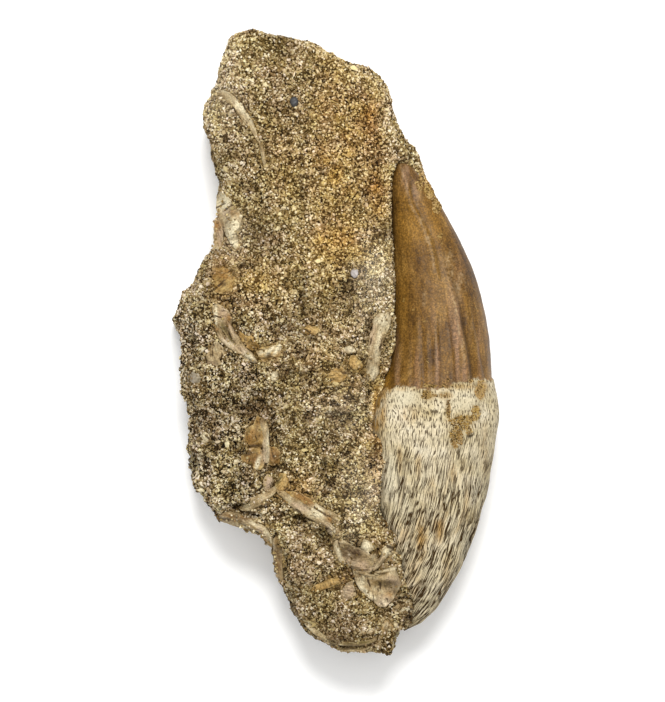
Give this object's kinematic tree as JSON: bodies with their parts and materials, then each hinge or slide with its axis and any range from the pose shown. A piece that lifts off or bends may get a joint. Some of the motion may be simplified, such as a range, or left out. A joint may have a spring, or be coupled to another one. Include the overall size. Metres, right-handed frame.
{
  "type": "fossil mosasaur tooth in matrix",
  "caption": "Fossil marine reptile tooth with its brown enamel crown and long fibrous root, lying in a block of coarse phosphate sandstone with bone scraps in its face.",
  "frame": {"origin": "middle of the block's plan, on the flat ground back that it lies on", "axes": "+Y along the block towards the crown's tip, +X towards the side the tooth lies on, +Z out of the face that shows the tooth"},
  "size_m": [0.0656, 0.125, 0.0273],
  "materials": {
    "sandstone": "coarse, grainy, matt",
    "tooth": "satin enamel on the crown, matt fibrous root",
    "pale_bone": "matt fossil bone, cream to pinkish brown",
    "amber_bone": "matt to satin fossil bone, amber to ochre",
    "pebble": "smooth worn stone, matt"
  },
  "bodies": {
    "root": {"matrix": "sandstone", "tooth": "tooth", "rib_splinter": "pale_bone", "thin_sliver": "pale_bone", "dark_pebble": "pebble", "edge_flake": "pale_bone", "amber_patch": "amber_bone", "forked_bone": "pale_bone", "side_flake": "pale_bone", "v_chip": "amber_bone", "white_chip": "pale_bone", "yellow_chip": "amber_bone", "bone_rod": "pale_bone", "lilac_speck": "pebble", "flat_chip": "pale_bone", "ochre_flake": "amber_bone", "round_pebble": "pebble", "cream_chip": "pale_bone", "cluster_top": "amber_bone", "cluster_column": "pale_bone", "cluster_left": "amber_bone", "cluster_right": "amber_bone", "pink_flake": "pale_bone", "gold_flake": "amber_bone", "ridge_ochre": "amber_bone", "ridge_cream": "pale_bone", "ridge_tail": "pale_bone", "left_band": "pale_bone", "notch_sheet": "pale_bone", "ochre_sliver": "amber_bone", "small_flake": "pale_bone", "hollow_bone": "pale_bone", "upper_shard": "pale_bone", "plate_rim": "pale_bone", "big_plate": "pale_bone", "pale_arc": "pale_bone", "base_sheet": "pale_bone", "base_bit": "amber_bone"}
  },
  "joints": []
}
